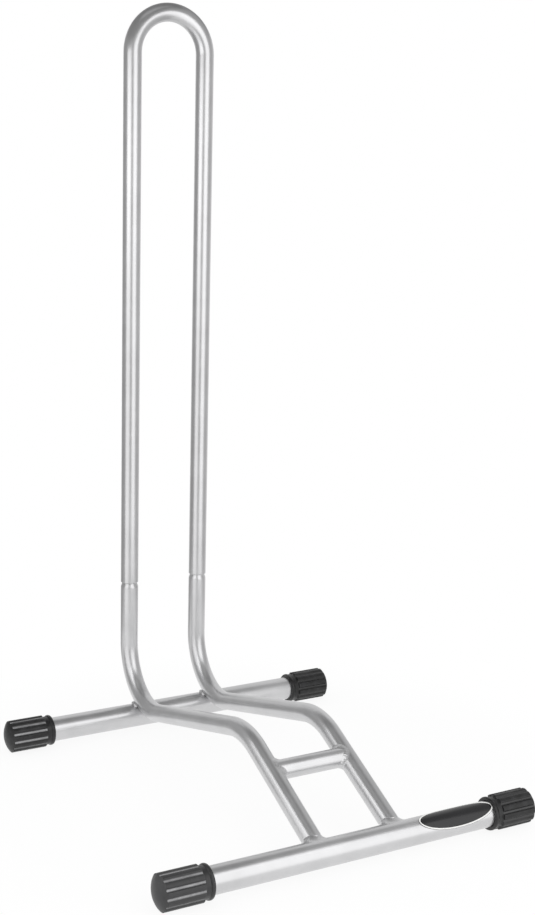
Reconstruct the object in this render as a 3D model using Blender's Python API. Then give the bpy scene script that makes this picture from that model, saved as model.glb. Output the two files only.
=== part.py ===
"""Bicycle display stand: a welded tube base on two capped bars, with a lift-off hoop.

A wheel rolls in between the two frame tubes, settles between the rung and the rear bar,
and is held upright by the hoop. Metres, +Z up. X runs along the bars and Y from the front
bar to the rear bar. The origin is on the floor under the middle of the stand's outline.
"""

import math

import bmesh
import bpy
from mathutils import Vector

# Round stock
TUBE_OD = 0.020
TUBE_WALL = 0.0015
BAR_OD = 0.0265
BAR_WALL = 0.0016
FRONT_BAR_LENGTH = 0.4065
REAR_BAR_LENGTH = 0.400

# Base, measured from the front bar's axis
LEG_SPACING = 0.088
FRONT_BAR_SHIFT = -0.0058  # along X, from midway between the frame tubes
BAR_SPACING = 0.402
HUMP_SETBACK = 0.150
HUMP_RISE = 0.072
HUMP_BEND_RADIUS = 0.077
REAR_BEND_RADIUS = 0.064
UPRIGHT_SETBACK = 0.0295  # uprights behind the rear bar's axis
RUNG_DISTANCE = 0.106  # along the sloping tubes
SHOULDER_HEIGHT = 0.1465  # where the swage starts, above the bars' axes

# Swaged spigots and the hoop that slips over them
SWAGE_RISE = 0.0055
SPIGOT_LENGTH = 0.050
SPIGOT_CLEARANCE = 0.0003
HOOP_RISE = 0.792  # centre line of its top, above the bars' axes
EDGE_BREAK = 0.0004

# Rubber end caps
RIB_THICKNESS = 0.00455  # bar's surface to the flat top of a rib
COLLAR_THICKNESS = 0.00305
CAP_RIBS = 12
RIB_TOP_WIDTH = 0.0058
RIB_ROOT_WIDTH = 0.0064
GROOVE_DEPTH = 0.0013
COLLAR_LENGTH = 0.0095
CAP_SOCKET_DEPTH = 0.046
CAP_DOME_START = 0.0478
CAP_DOME_RISE = 0.006
CAP_FIT = 0.0003

# Weld beads
BEAD_RADIUS = 0.0022
BEAD_STAND_OFF = 0.0008  # bead centre line off the surfaces it joins
BEAD_RIPPLE = 0.07  # share of the bead's radius
RIPPLE_PITCH = 0.005
REAR_BEAD_STATIONS = 9
REAR_BEAD_BACK = math.radians(-34)  # round the rear bar, from where tube and bar touch
REAR_BEAD_FRONT = math.radians(10)

# Gap kept between pieces that touch
GAP = 0.0003

# Facets
TUBE_SIDES = 20
BAR_SIDES = 32
BEAD_SIDES = 6
BEND_STEP = math.radians(7.5)

# Sizes that follow from those above
TUBE_RADIUS = TUBE_OD / 2
BAR_RADIUS = BAR_OD / 2
TUBE_BORE = TUBE_RADIUS - TUBE_WALL
BAR_BORE = BAR_RADIUS - BAR_WALL
SPIGOT_RADIUS = TUBE_BORE - SPIGOT_CLEARANCE
HOOP_BEND_RADIUS = LEG_SPACING / 2
CAP_RADIUS = BAR_RADIUS + RIB_THICKNESS
COLLAR_RADIUS = BAR_RADIUS + COLLAR_THICKNESS
UPRIGHT_Y = BAR_SPACING + UPRIGHT_SETBACK
DEPTH = CAP_RADIUS + UPRIGHT_Y + TUBE_RADIUS
FRONT_BAR_Y = CAP_RADIUS - DEPTH / 2
BAR_HEIGHT = CAP_RADIUS
CAP_OVERHANG = CAP_DOME_START + CAP_DOME_RISE - CAP_SOCKET_DEPTH
FRONT_REACH = FRONT_BAR_LENGTH / 2 + CAP_OVERHANG
REAR_REACH = REAR_BAR_LENGTH / 2 + CAP_OVERHANG
OUTLINE_LEFT = min(FRONT_BAR_SHIFT - FRONT_REACH, -REAR_REACH)
OUTLINE_RIGHT = max(FRONT_BAR_SHIFT + FRONT_REACH, REAR_REACH)
BASE_X = -(OUTLINE_LEFT + OUTLINE_RIGHT) / 2
BARS = (
    ("front", FRONT_BAR_SHIFT, 0, FRONT_BAR_LENGTH),
    ("rear", 0, BAR_SPACING, REAR_BAR_LENGTH),
)
CAP_SIDES = 4 * CAP_RIBS
X_AXIS = Vector((1, 0, 0))


def clear_scene():
    for obj in list(bpy.context.scene.objects):
        bpy.data.objects.remove(obj)


def principled(name, colour, roughness, metallic):
    material = bpy.data.materials.new(name)
    material.use_nodes = True
    shader = material.node_tree.nodes["Principled BSDF"]
    shader.inputs["Base Color"].default_value = (*colour, 1)
    shader.inputs["Roughness"].default_value = roughness
    shader.inputs["Metallic"].default_value = metallic
    return material


def empty(name, location, parent=None):
    obj = bpy.data.objects.new(name, None)
    obj.location = location
    obj.parent = parent
    bpy.context.scene.collection.objects.link(obj)
    return obj


def place(name, mesh, material, location=(0, 0, 0), parent=None):
    """Puts an object made from the mesh in the scene. Copies of a piece share one mesh."""
    if not mesh.materials:
        mesh.materials.append(material)
    obj = bpy.data.objects.new(name, mesh)
    obj.location = location
    obj.parent = parent
    bpy.context.scene.collection.objects.link(obj)
    return obj


def cutter(name, mesh, location, parent):
    """A solid that only cuts others: drawn as wires and never rendered."""
    obj = bpy.data.objects.new(name, mesh)
    obj.location = location
    obj.parent = parent
    obj.hide_render = True
    obj.display_type = "WIRE"
    bpy.context.scene.collection.objects.link(obj)
    return obj


def cut(obj, *cutters):
    """Self-intersection is allowed for: a bead can fold over itself in a joint's tight corners."""
    for tool in cutters:
        modifier = obj.modifiers.new("cut_" + tool.name, "BOOLEAN")
        modifier.operation = "DIFFERENCE"
        modifier.solver = "EXACT"
        modifier.use_self = True
        modifier.object = tool


def loft(name, rings, closed):
    """Joins rings of points one to the next. A closed loft runs from its last ring back to its
    first, as the wall of an open tube does, and any other has a flat face at both ends."""
    form = bmesh.new()
    loops = [[form.verts.new(point) for point in ring] for ring in rings]
    following = loops[1:] + loops[:1] if closed else loops[1:]
    for near, far in zip(loops, following):
        for i in range(len(near)):
            j = (i + 1) % len(near)
            form.faces.new((near[i], near[j], far[j], far[i]))
    if not closed:
        form.faces.new(loops[0])
        form.faces.new(loops[-1])
    bmesh.ops.recalc_face_normals(form, faces=form.faces)
    mesh = bpy.data.meshes.new(name)
    form.to_mesh(mesh)
    form.free()
    mesh.shade_smooth()
    mesh.set_sharp_from_angle(angle=math.radians(35))
    return mesh


def ring(centre, across, along, radius, sides):
    """Points on a circle whose plane holds the unit vectors across and along."""
    turns = [2 * math.pi * i / sides for i in range(sides)]
    return [
        centre + radius * (math.cos(turn) * across + math.sin(turn) * along)
        for turn in turns
    ]


def direction(angle):
    """Unit vector in the side plane, at this angle above the floor."""
    return Vector((0, math.cos(angle), math.sin(angle)))


def bend(centre, radius, start, end):
    """Stations of a bend in the side plane: (point, heading), the heading going from start to
    end. The centre lies on the left of a rising bend and on the right of a falling one."""
    turn = math.copysign(math.pi / 2, start - end)
    steps = math.ceil(abs(end - start) / BEND_STEP)
    headings = [start + (end - start) * i / steps for i in range(steps + 1)]
    return [(centre + radius * direction(angle + turn), angle) for angle in headings]


def rear_bend_centre():
    """The bend rests on the rear bar, so its centre is one bend, tube and bar radius away."""
    reach = REAR_BEND_RADIUS + TUBE_RADIUS + GAP + BAR_RADIUS
    y = UPRIGHT_Y - REAR_BEND_RADIUS
    return Vector((0, y, math.sqrt(reach**2 - (BAR_SPACING - y) ** 2)))


def frame_line():
    """Centre line of a frame tube, from the front bar's axis to the foot of its shoulder."""
    hump = Vector((0, HUMP_SETBACK, HUMP_RISE))
    rear = rear_bend_centre()
    rise = math.atan2(hump.z, hump.y)
    reach = rear - hump
    fall = math.atan2(reach.z, reach.y) - math.asin(REAR_BEND_RADIUS / reach.length)
    start = hump - direction(rise) * HUMP_BEND_RADIUS * math.tan((rise - fall) / 2)
    centre = start + HUMP_BEND_RADIUS * direction(rise - math.pi / 2)
    foot = Vector((0, UPRIGHT_Y, SHOULDER_HEIGHT))
    return [
        (Vector((0, 0, 0)), rise),
        *bend(centre, HUMP_BEND_RADIUS, rise, fall),
        *bend(rear, REAR_BEND_RADIUS, fall, math.pi / 2),
        (foot, math.pi / 2),
    ]


def tube_rings(stations, radius):
    return [
        ring(point, X_AXIS, direction(angle + math.pi / 2), radius, TUBE_SIDES)
        for point, angle in stations
    ]


def swage_stations(wall):
    """(height above the foot, radius) of the shoulder and spigot: a quarter ellipse, a straight
    spigot and a broken edge. The inside follows a wall's thickness within."""
    narrowing = TUBE_RADIUS - SPIGOT_RADIUS
    turns = [math.radians(angle) for angle in (30, 60, 90)]
    shoulder = [
        (SWAGE_RISE * math.sin(turn), SPIGOT_RADIUS + narrowing * math.cos(turn) - wall)
        for turn in turns
    ]
    tip = SWAGE_RISE + SPIGOT_LENGTH
    return [
        *shoulder,
        (tip - EDGE_BREAK, SPIGOT_RADIUS - wall),
        (tip, SPIGOT_RADIUS - wall - (0 if wall else EDGE_BREAK)),
    ]


def frame_tube_mesh():
    """A bent tube with one wall: up the outside, over the spigot's edge and down the bore."""
    line = frame_line()
    foot = line[-1][0]

    def side(wall):
        rings = tube_rings(line, TUBE_RADIUS - wall)
        for height, radius in swage_stations(wall):
            station = (foot + Vector((0, 0, height)), math.pi / 2)
            rings += tube_rings([station], radius)
        return rings

    return loft("frame_tube", side(0) + side(TUBE_WALL)[::-1], closed=True)


def hoop_mesh():
    """An inverted U. Its origin is midway between the legs' lower ends, on the slide's axis."""
    leg = HOOP_RISE - HOOP_BEND_RADIUS - (SHOULDER_HEIGHT + SWAGE_RISE + GAP)
    top = Vector((0, 0, leg))
    steps = math.ceil(math.pi / BEND_STEP)
    turns = [math.pi * i / steps for i in range(steps + 1)]
    y_axis = Vector((0, 1, 0))

    def outwards(turn):
        return Vector((-math.cos(turn), 0, math.sin(turn)))

    def side(radius, end_radius):
        left = Vector((-HOOP_BEND_RADIUS, 0, 0))
        right = -left
        edge = Vector((0, 0, EDGE_BREAK))
        rings = [
            ring(left, outwards(0), y_axis, end_radius, TUBE_SIDES),
            ring(left + edge, outwards(0), y_axis, radius, TUBE_SIDES),
        ]
        for turn in turns:
            centre = top + HOOP_BEND_RADIUS * outwards(turn)
            rings.append(ring(centre, outwards(turn), y_axis, radius, TUBE_SIDES))
        rings.append(ring(right + edge, outwards(math.pi), y_axis, radius, TUBE_SIDES))
        rings.append(ring(right, outwards(math.pi), y_axis, end_radius, TUBE_SIDES))
        return rings

    outside = side(TUBE_RADIUS, TUBE_RADIUS - EDGE_BREAK)
    bore = side(TUBE_BORE, TUBE_BORE)
    return loft("upper_hoop", outside + bore[::-1], closed=True)


def straight_tube_mesh(name, length, radius, bore, sides):
    """A straight length along X, open at both ends."""
    ends = (-length / 2, length / 2)
    y_axis, z_axis = Vector((0, 1, 0)), Vector((0, 0, 1))
    outside = [ring(Vector((x, 0, 0)), y_axis, z_axis, radius, sides) for x in ends]
    inside = [ring(Vector((x, 0, 0)), y_axis, z_axis, bore, sides) for x in ends]
    return loft(name, outside + inside[::-1], closed=True)


def rod_mesh(name, length, radius, sides):
    """A solid length along X."""
    ends = (-length / 2, length / 2)
    y_axis, z_axis = Vector((0, 1, 0)), Vector((0, 0, 1))
    rings = [ring(Vector((x, 0, 0)), y_axis, z_axis, radius, sides) for x in ends]
    return loft(name, rings, closed=False)


def rib_outline():
    """(angle, radius) of the ribbed section: flat rib tops, sloping flanks, grooves between."""
    root = CAP_RADIUS - GROOVE_DEPTH
    points = []
    for rib in range(CAP_RIBS):
        middle = 2 * math.pi * rib / CAP_RIBS
        for side, half, depth in (
            (-1, RIB_ROOT_WIDTH / 2, root),
            (-1, RIB_TOP_WIDTH / 2, CAP_RADIUS),
            (1, RIB_TOP_WIDTH / 2, CAP_RADIUS),
            (1, RIB_ROOT_WIDTH / 2, root),
        ):
            angle = middle + side * math.atan2(half, depth)
            points.append((angle, math.hypot(half, depth)))
    return points


def end_cap_mesh():
    """A cap along +X from its mouth: socket, smooth collar, ribs cut off square at the collar,
    and a domed end that cuts across the ribs. The dome is part of a sphere whose radius R comes
    from its rim a and its rise h, R = (a^2 + h^2) / 2h."""
    outline = rib_outline()
    widest = max(radius for _, radius in outline)

    def section(x, limit):
        return [
            Vector((x, min(radius, limit) * math.sin(angle), min(radius, limit) * math.cos(angle)))
            for angle, radius in outline
        ]

    def socket(x):
        radius = BAR_RADIUS + CAP_FIT
        first = outline[0][0]
        turns = [first + 2 * math.pi * i / CAP_SIDES for i in range(CAP_SIDES)]
        return [Vector((x, radius * math.sin(turn), radius * math.cos(turn))) for turn in turns]

    rings = [
        socket(CAP_SOCKET_DEPTH + CAP_FIT),
        socket(0),
        section(0, COLLAR_RADIUS - 2 * EDGE_BREAK),
        section(2 * EDGE_BREAK, COLLAR_RADIUS),
        section(COLLAR_LENGTH, COLLAR_RADIUS),
        section(COLLAR_LENGTH, widest),
        section(CAP_DOME_START, widest),
    ]
    sphere = (widest**2 + CAP_DOME_RISE**2) / (2 * CAP_DOME_RISE)
    rim = math.asin(widest / sphere)
    for turn in [rim * share for share in (0.9, 0.68, 0.45, 0.22, 0.03)]:
        x = CAP_DOME_START + CAP_DOME_RISE - sphere * (1 - math.cos(turn))
        rings.append(section(x, sphere * math.sin(turn)))
    return loft("end_cap", rings, closed=False)


def bead(name, path, reference, radii, closed):
    """A weld bead: circles of the given radii square to the path. Each reference vector fixes
    where its circle starts."""
    count = len(path)
    rings = []
    for i, point in enumerate(path):
        before = path[i - 1] if closed or i else path[0]
        after = path[(i + 1) % count] if closed or i < count - 1 else path[-1]
        along = (after - before).normalized()
        across = (reference[i] - along * reference[i].dot(along)).normalized()
        rings.append(ring(point, across, along.cross(across), radii[i], BEAD_SIDES))
    return loft(name, rings, closed)


def rippled(count, radius):
    """Radii that swell and shrink once every two stations."""
    return [radius * (1 + BEAD_RIPPLE * (-1) ** i) for i in range(count)]


def saddle_bead_mesh(name, stub, through, stub_radius, through_radius):
    """A bead round a T joint. The stub runs along one unit vector from the through piece's
    axis, which runs along the other. The bead's centre line is where two cylinders cross,
    each a little larger than its piece: s = sqrt(R^2 - (r sin turn)^2) along the stub."""
    small = stub_radius + BEAD_STAND_OFF * 0.6
    large = through_radius + BEAD_STAND_OFF * 1.6
    normal = stub.cross(through)
    ripples = round(2 * math.pi * small / RIPPLE_PITCH)
    turns = [math.pi * i / ripples for i in range(2 * ripples)]
    path, outwards = [], []
    for turn in turns:
        radial = math.cos(turn) * through + math.sin(turn) * normal
        rise = math.sqrt(large**2 - (small * math.sin(turn)) ** 2)
        path.append(stub * rise + radial * small)
        outwards.append(radial)
    return bead(name, path, outwards, rippled(len(path), BEAD_RADIUS), closed=True)


def rear_bead_mesh(name, side):
    """A short bead in the valley between the rear bar and a frame tube that lies over it,
    round the bar's back and top, where the valley is as deep as the bead. Its ends taper as a
    circle does."""
    rear = rear_bend_centre()
    touch = math.atan2(rear.z, rear.y - BAR_SPACING)
    radius = BAR_RADIUS + BEAD_STAND_OFF + GAP
    sweep = REAR_BEAD_FRONT - REAR_BEAD_BACK
    count = REAR_BEAD_STATIONS
    shares = [i / (count - 1) for i in range(count)]
    outwards = [direction(touch + REAR_BEAD_BACK + sweep * share) for share in shares]
    clearance = TUBE_RADIUS - BEAD_RADIUS - BEAD_STAND_OFF
    offset = X_AXIS * side * math.sqrt(TUBE_RADIUS**2 - clearance**2)
    path = [offset + radial * radius for radial in outwards]
    swell = rippled(count, BEAD_RADIUS)
    taper = [math.sqrt(max(1 - (2 * share - 1) ** 2, 0.08)) for share in shares]
    radii = [full * share for full, share in zip(swell, taper)]
    return bead(name, path, outwards, radii, closed=False)


def add_bars(base, steel):
    for row, x, y, length in BARS:
        mesh = straight_tube_mesh(row + "_bar", length, BAR_RADIUS, BAR_BORE, BAR_SIDES)
        place(row + "_bar", mesh, steel, (x, y, 0), base)


def add_frame_tubes(base, steel, cutters):
    mesh = frame_tube_mesh()
    for name, side in (("left", -1), ("right", 1)):
        x = side * LEG_SPACING / 2
        tube = place(name + "_frame_tube", mesh, steel, (x, 0, 0), base)
        cut(tube, cutters["front_bar"])


def rung_place():
    rise = frame_line()[0][1]
    return direction(rise) * RUNG_DISTANCE


def add_rung(base, steel, cutters):
    mesh = straight_tube_mesh("rung", LEG_SPACING, TUBE_RADIUS, TUBE_BORE, TUBE_SIDES)
    rung = place("wheel_rung", mesh, steel, rung_place(), base)
    cut(rung, cutters["left_tube"], cutters["right_tube"])


def add_hoop(base, steel):
    """The hoop's parent stands where it slides: on its axis, level with the legs' lower ends."""
    seat = SHOULDER_HEIGHT + SWAGE_RISE + GAP
    slide = empty("hoop_slide", (0, UPRIGHT_Y, seat), base)
    place("upper_hoop", hoop_mesh(), steel, parent=slide)


def add_end_caps(base, rubber):
    mesh = end_cap_mesh()
    for row, x, y, length in BARS:
        for name, side in (("left", -1), ("right", 1)):
            mouth = x + side * (length / 2 - CAP_SOCKET_DEPTH)
            cap = place(f"{row}_{name}_end_cap", mesh, rubber, (mouth, y, 0), base)
            cap.rotation_euler.z = math.pi if side < 0 else 0


def add_welds(base, steel, cutters):
    slope = direction(frame_line()[0][1])
    front = saddle_bead_mesh("front_weld", slope, X_AXIS, TUBE_RADIUS, BAR_RADIUS)
    for name, side in (("left", -1), ("right", 1)):
        x = side * LEG_SPACING / 2
        tube_cutter = cutters[name + "_tube"]
        weld = place(name + "_front_weld", front, steel, (x, 0, 0), base)
        cut(weld, cutters["front_bar"], tube_cutter)

        stub = -X_AXIS * side
        mesh = saddle_bead_mesh(name + "_rung_weld", stub, slope, TUBE_RADIUS, TUBE_RADIUS)
        weld = place(name + "_rung_weld", mesh, steel, rung_place() + X_AXIS * x, base)
        cut(weld, cutters["rung"], tube_cutter)

        for place_name, facing in (("outer", side), ("inner", -side)):
            weld_name = f"{name}_rear_{place_name}_weld"
            mesh = rear_bead_mesh(weld_name, facing)
            weld = place(weld_name, mesh, steel, (x, BAR_SPACING, 0), base)
            cut(weld, cutters["rear_bar"], tube_cutter)


def add_cutters(base):
    """Solid rods a gap larger than the bars, tubes and rung, to cope ends and trim beads."""
    bar = rod_mesh("bar_cutter", LEG_SPACING * 2, BAR_RADIUS + GAP, BAR_SIDES)
    rung = rod_mesh("rung_cutter", LEG_SPACING, TUBE_RADIUS + GAP, TUBE_SIDES)
    tube = loft("tube_cutter", tube_rings(frame_line(), TUBE_RADIUS + GAP), closed=False)
    half = LEG_SPACING / 2
    return {
        "front_bar": cutter("front_bar_cutter", bar, (0, 0, 0), base),
        "rear_bar": cutter("rear_bar_cutter", bar, (0, BAR_SPACING, 0), base),
        "rung": cutter("rung_cutter", rung, rung_place(), base),
        "left_tube": cutter("left_tube_cutter", tube, (-half, 0, 0), base),
        "right_tube": cutter("right_tube_cutter", tube, (half, 0, 0), base),
    }


def main():
    clear_scene()
    steel = principled("satin_silver_paint", (0.56, 0.57, 0.58), 0.36, 0.85)
    rubber = principled("black_rubber", (0.035, 0.035, 0.037), 0.48, 0.0)
    base = empty("base_frame", (BASE_X, FRONT_BAR_Y, BAR_HEIGHT))
    cutters = add_cutters(base)
    add_bars(base, steel)
    add_frame_tubes(base, steel, cutters)
    add_rung(base, steel, cutters)
    add_hoop(base, steel)
    add_end_caps(base, rubber)
    add_welds(base, steel, cutters)


main()
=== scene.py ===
"""Finish of a bicycle display stand: bent steel tube under silver powder coat, weld beads,
ribbed rubber end caps and an oval badge, made as surfaces over the stand's fixed frame.

Metres, +Z up. X runs along the two foot bars and Y from the front bar to the rear bar.
"""

import math
from typing import NamedTuple

import bpy
import numpy as np
from bpy.props import FloatProperty, FloatVectorProperty, IntProperty, PointerProperty
from mathutils import Matrix, Vector


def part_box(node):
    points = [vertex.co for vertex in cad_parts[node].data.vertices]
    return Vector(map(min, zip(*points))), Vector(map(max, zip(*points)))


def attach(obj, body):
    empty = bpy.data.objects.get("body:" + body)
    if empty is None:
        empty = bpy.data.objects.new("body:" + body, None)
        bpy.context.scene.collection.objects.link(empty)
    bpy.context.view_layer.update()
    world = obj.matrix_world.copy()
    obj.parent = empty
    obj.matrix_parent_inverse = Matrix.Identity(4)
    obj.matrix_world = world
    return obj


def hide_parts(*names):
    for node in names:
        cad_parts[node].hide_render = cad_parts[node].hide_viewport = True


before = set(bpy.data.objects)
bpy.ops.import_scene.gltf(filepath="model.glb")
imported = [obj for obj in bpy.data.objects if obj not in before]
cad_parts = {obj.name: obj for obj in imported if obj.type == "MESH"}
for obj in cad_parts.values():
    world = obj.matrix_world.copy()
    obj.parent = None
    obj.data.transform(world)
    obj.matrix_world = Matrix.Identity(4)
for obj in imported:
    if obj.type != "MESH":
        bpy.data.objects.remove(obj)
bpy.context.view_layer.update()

bl_info = {
    "name": "Bicycle Display Stand Finish",
    "version": (1, 0, 0),
    "blender": (4, 5, 0),
    "location": "3D View > Sidebar > Stand",
    "description": "Builds the finished surfaces and the studio of a bicycle display stand",
    "category": "Object",
}

MILLIMETRE = 0.001
FULL_TURN = 2 * math.pi
WHITE = (1, 1, 1, 1)
INDIRECT_RAYS = ("Is Glossy Ray", "Is Transmission Ray")

# The drum round the stand: its cards, the screens and lamps just inside it, the rings just outside
DRUM_RADIUS = 0.7
LAMP_RADIUS = 0.98 * DRUM_RADIUS
SCREEN_RADIUS = 0.99 * DRUM_RADIUS
RING_RADIUS = 1.01 * DRUM_RADIUS

# Softboxes: bearings in degrees to the camera's right, heights, grey in reflections, lamp radiance
SOFTBOXES = (
    ("softbox_left_low", -77, -21, -0.4, 0.50, 1.0, 0.25),
    ("softbox_left_high", -77, -21, 0.50, 0.84, 1.0, 0.75),
    ("softbox_right_low", 14, 76, -0.4, 0.50, 1.0, 0.40),
    ("softbox_right_high", 14, 76, 0.50, 0.97, 1.0, 0.60),
)

# Cards that only reflections see: bearings, heights, grey
CARDS = (
    ("card_left", -140, -77, -0.4, 1.0, 0.38),
    ("card_camera", -21, 14, -0.4, 1.1, 0.50),
    ("card_right", 76, 140, -0.4, 0.97, 0.55),
    ("card_right_high", 60, 140, 0.97, 1.65, 0.40),
    ("card_back", 140, 220, -0.4, 0.97, 0.82),
    ("card_back_high", 140, 220, 0.97, 1.6, 0.30),
)

# Rings of card all the way round: heights, grey
CARD_RINGS = (
    ("card_below", -0.8, -0.4, 0.5),
    ("card_above", 0.8, 1.65, 0.24),
    ("card_high", 1.65, 2.0, 0.10),
)

# Ceiling cards: bearings, grey; then their height and the share of their radius left open
CEILING_CARDS = (
    ("card_ceiling_front", -90, 90, 0.48),
    ("card_ceiling_back", 90, 270, 0.2),
)
CEILING = 2.0
CEILING_EYE = 0.001

# Light that diffuse surfaces get from the world
WORLD_LEVEL = 0.8

# Floor: half its width, where it starts to fade to white, and how white it looks before that
FLOOR_HALF = 0.44
FADE_START = 0.25
WHITE_SHARE = 0.9

# How finely the surfaces are divided
TUBE_COLUMNS = 72
BAR_COLUMNS = 96
STRAIGHT_SPACING = 0.008
BEND_STEP = math.radians(2.5)
SHORTEST_STRETCH = 1e-6
STATION_GAP = 1e-4
LIP_STEPS = 5
SHOULDER_ROWS = 40
SHOULDER_APPROACH = (0.0015, 0.0005)
RUNG_ROWS = 18
RUNG_END_ROWS = 6
WELD_ROWS = 180
WELD_COLUMNS = 20
REAR_WELD_ROWS = 60
REAR_WELD_COLUMNS = 40
RIB_TOP_COLUMNS = 7
GROOVE_COLUMNS = 17
SOCKET_ROWS = 10
CAP_LIP_ROWS = 17
NECK_ROWS = 8
RIB_START_ROWS = 9
RIB_ROWS = 24
RIM_ROWS = 16
DOME_ROWS = 26
BADGE_COLUMNS = 160
CARD_COLUMNS = 9
RING_COLUMNS = 37
CEILING_COLUMNS = 19

# Share of the shoulder's rise that its rounded edge takes, and of the rung that its close rows take
SHOULDER_ROUND = 0.1
RUNG_END = 0.06

# Beads: wander of the legs, share of leg and toe angle where the metals run on flat, sunk depth
LONG_WANDER = 0.10
SHORT_WANDER = 0.06
FLAT_LEG = 0.72
FLAT_TOE = 0.35
BEAD_SINK = 0.4 * MILLIMETRE

# Turn at which the toes of each side's front bead and rung bead are softest, in radians
SOFT_TURNS = {"left": (0.0, 1.2), "right": (0.8, 3.0)}

# Ripples: bow from the middle to the toes, level about which they rise, and power of their fade
RIPPLE_BOW = 0.325 * FULL_TURN
RIPPLE_LEVEL = 0.6
RIPPLE_FADE = 0.6

# Powers of the superellipse that a rear bead's outline follows
BLUNT_ALONG = 3
BLUNT_ACROSS = 2.4

# Each cap as found: degrees turned on its bar, share of the painted highlight in its grooves, and its
# film of painted sheen
CAP_STATES = {
    "front_left": (15.0, 1.0, 0.07),
    "front_right": (3.6, 0.1, 0.0),
    "rear_left": (10.0, 0.95, 0.0),
    "rear_right": (-6.0, 0.1, 0.0),
}

# How far the collar and the dome of a cap are rubbed pale; a rib's top is 1, a groove 0, which
# darkens the groove as painted shade
COLLAR_RUB = 0.7
DOME_RUB = 1.0

# Painted highlight in the grooves: how far into a groove it starts and is full, and how it changes
# from groove to groove
HIGHLIGHT_START = 0.1
HIGHLIGHT_FULL = 0.8
HIGHLIGHT_CHANGE = 0.2
HIGHLIGHT_CHANGE_TURN = 2.4

# Power of a groove's hollow, and angles past and before the dome's edge with close rows
GROOVE_POWER = 2.2
RIM_OUTSIDE = 0.02
RIM_INSIDE = 0.08

# Socket of a cap: the rounding at its bottom, then distance and widening of the rows at its mouth
SOCKET_CORNER = 0.0005
SOCKET_FLARE = ((0.0008, 0.0), (0.0002, 0.0001), (0.0, 0.0005))

# Badge edge: insets as shares of the border, with heights as shares of the thickness
BORDER_SECTION = (
    (0.0, -0.10), (0.0, 0.55), (0.05, 0.86), (0.12, 1.0), (0.20, 1.0),
    (0.24, 1.0), (0.5, 1.0), (0.84, 1.0), (0.94, 0.9), (1.0, 0.62),
)
EDGE_LINE_ROWS = 4

# Rows under the badge and on its face, as shares of the way out, and how far the face is domed
UNDER_SHARES = (0.1, 0.4, 0.7, 0.9)
FACE_SHARES = (0.985, 0.95, 0.88, 0.78, 0.66, 0.54, 0.42, 0.30, 0.18, 0.08)
FACE_DOME = 0.25


def middle_and_half(node):
    """Middle and half extents of a frame node's box."""
    low, high = (np.array(corner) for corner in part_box(node))
    return (low + high) / 2, (high - low) / 2


# Places and sizes that the frame gives
FRONT_BAR, FRONT_BAR_HALF = middle_and_half("front_bar")
REAR_BAR, REAR_BAR_HALF = middle_and_half("rear_bar")
RUNG, RUNG_HALF = middle_and_half("wheel_rung")
LEFT_TUBE, LEFT_TUBE_HALF = middle_and_half("left_frame_tube")
RIGHT_TUBE, _ = middle_and_half("right_frame_tube")
HOOP, HOOP_HALF = middle_and_half("upper_hoop")
CAP_HALF = middle_and_half("front_right_end_cap")[1]
BAR_RADIUS = FRONT_BAR_HALF[2]
TUBE_RADIUS = RUNG_HALF[2]
CAP_RADIUS = CAP_HALF[2]
MIDDLE_X = HOOP[0]
LEG_X = (RIGHT_TUBE[0] - LEFT_TUBE[0]) / 2
UPRIGHT_Y = HOOP[1]
SPIGOT_TIP = LEFT_TUBE[2] + LEFT_TUBE_HALF[2]
HOOP_FOOT = HOOP[2] - HOOP_HALF[2]
HOOP_CROWN = HOOP[2] + HOOP_HALF[2] - TUBE_RADIUS
SLOPE = math.atan2(RUNG[2] - FRONT_BAR[2], RUNG[1] - FRONT_BAR[1])
SLOPE_UNIT = np.array([0, math.cos(SLOPE), math.sin(SLOPE)])
X_UNIT, Y_UNIT, Z_UNIT = np.eye(3)
SIDES = (("left", -1), ("right", 1))
ROWS = (("front", FRONT_BAR, FRONT_BAR_HALF[0]), ("rear", REAR_BAR, REAR_BAR_HALF[0]))


def linear(hex_colour):
    """Linear RGB of an sRGB hex colour."""
    shares = [int(hex_colour[i : i + 2], 16) / 255 for i in (1, 3, 5)]
    return tuple(s / 12.92 if s <= 0.04045 else ((s + 0.055) / 1.055) ** 2.4 for s in shares)


def length(name, description, default):
    """A length in metres, shown in the scene's unit."""
    return FloatProperty(
        name=name, description=description, default=default, min=0, precision=5, unit="LENGTH"
    )


def angle(name, description, degrees):
    """An angle given in degrees."""
    return FloatProperty(
        name=name, description=description, default=math.radians(degrees), subtype="ANGLE"
    )


def colour(name, description, hex_colour):
    """A colour given as sRGB hex."""
    return FloatVectorProperty(
        name=name,
        description=description,
        default=linear(hex_colour),
        min=0,
        max=1,
        size=3,
        subtype="COLOR",
    )


class StandTubeSizes(bpy.types.PropertyGroup):
    """Walls, bends and edges of the steel tubes, which the frame's boxes don't give."""

    tube_wall: length("Tube wall", "Wall of the frame tubes, the rung and the hoop", 0.0015)
    bar_wall: length("Bar wall", "Wall of the two foot bars", 0.0016)
    hump_setback: length("Hump setback", "From the front bar's axis to the hump", 0.150)
    hump_bend: length("Hump bend", "Radius of the bend over the hump", 0.077)
    rear_bend: length("Rear bend", "Radius of the bend that rises from the rear bar", 0.064)
    bar_gap: length("Bar gap", "Clear space between steel pieces that meet", 0.0003)
    swage_rise: length("Swage rise", "Height of the rounded shoulder under a spigot", 0.0055)
    waist: length("Waist", "How much less the radius is just under the hoop", 0.0015)
    spigot_clearance: length("Spigot clearance", "Between a spigot and the hoop", 0.0003)
    edge_break: length("Edge break", "Rounding of a cut tube end", 0.0005)


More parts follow.
